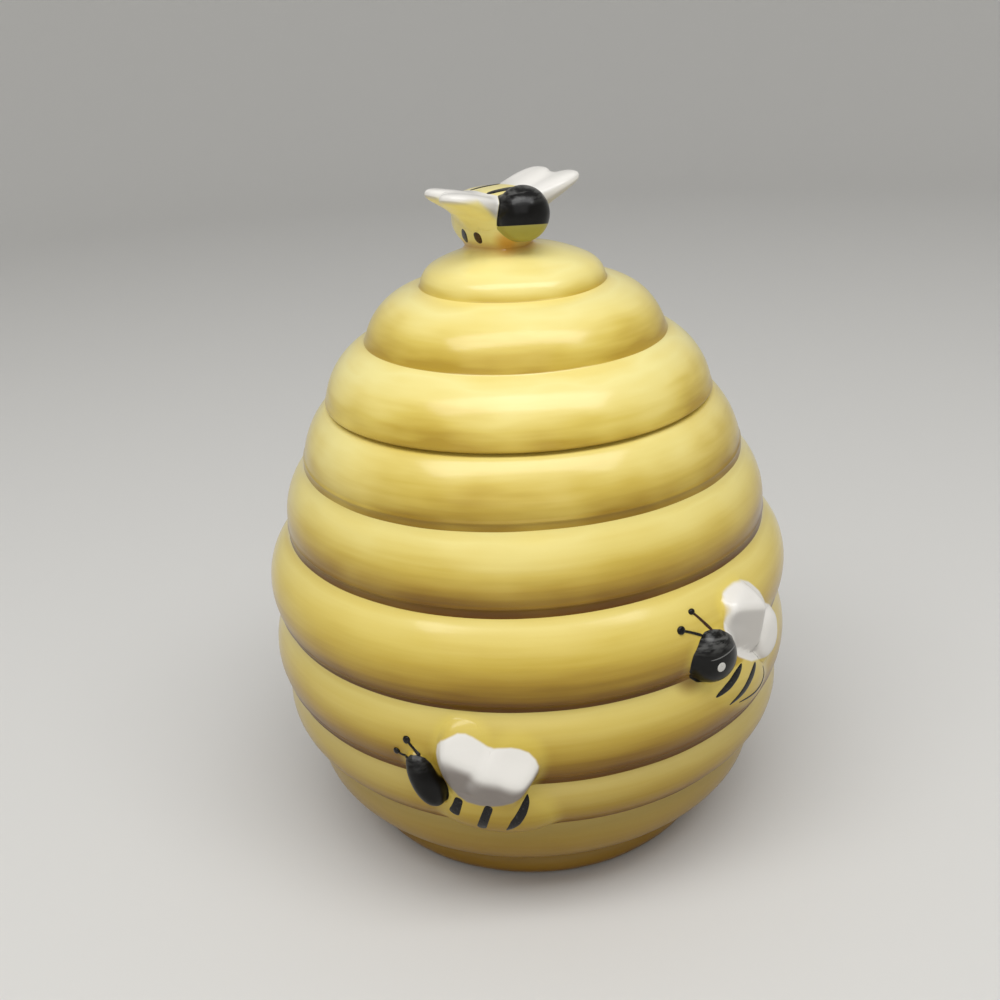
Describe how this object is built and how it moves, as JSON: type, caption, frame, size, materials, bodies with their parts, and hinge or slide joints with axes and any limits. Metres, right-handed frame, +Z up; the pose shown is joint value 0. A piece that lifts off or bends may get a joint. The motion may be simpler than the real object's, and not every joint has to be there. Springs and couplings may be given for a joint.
{
  "type": "cookie jar",
  "caption": "Beehive-shaped glazed ceramic cookie jar with coiled walls, bees in relief and a lift-off lid with a bee for its knob.",
  "frame": {"origin": "centre of the foot ring, on the surface that the jar stands on", "axes": "+Z up along the axis of the pot; -Y towards the front, the side with the bees; +X to the right of someone looking at the front"},
  "size_m": [0.1936, 0.1988, 0.2382],
  "materials": {
    "yellow_glaze": "clear gloss over honey yellow, amber in the creases",
    "white_glaze": "gloss, opaque warm white",
    "black_glaze": "gloss black"
  },
  "bodies": {
    "jar": {"jar_body": "yellow_glaze", "front_bee_body": "yellow_glaze", "front_bee_head": "black_glaze", "front_bee_fore_wing": "white_glaze", "front_bee_hind_wing": "white_glaze", "side_bee_body": "yellow_glaze", "side_bee_head": "black_glaze", "side_bee_fore_wing": "white_glaze", "side_bee_hind_wing": "white_glaze"},
    "lid": {"knob_bee_body": "yellow_glaze", "knob_bee_head": "black_glaze", "knob_bee_left_fore_wing": "white_glaze", "knob_bee_left_hind_wing": "white_glaze", "knob_bee_right_fore_wing": "white_glaze", "knob_bee_right_hind_wing": "white_glaze", "lid_shell": "yellow_glaze"}
  },
  "joints": [
    {"name": "lid_lift", "type": "slide", "parent": "jar", "child": "lid", "axis": [0, 0, 1], "range_m": [0, 0.15]}
  ]
}
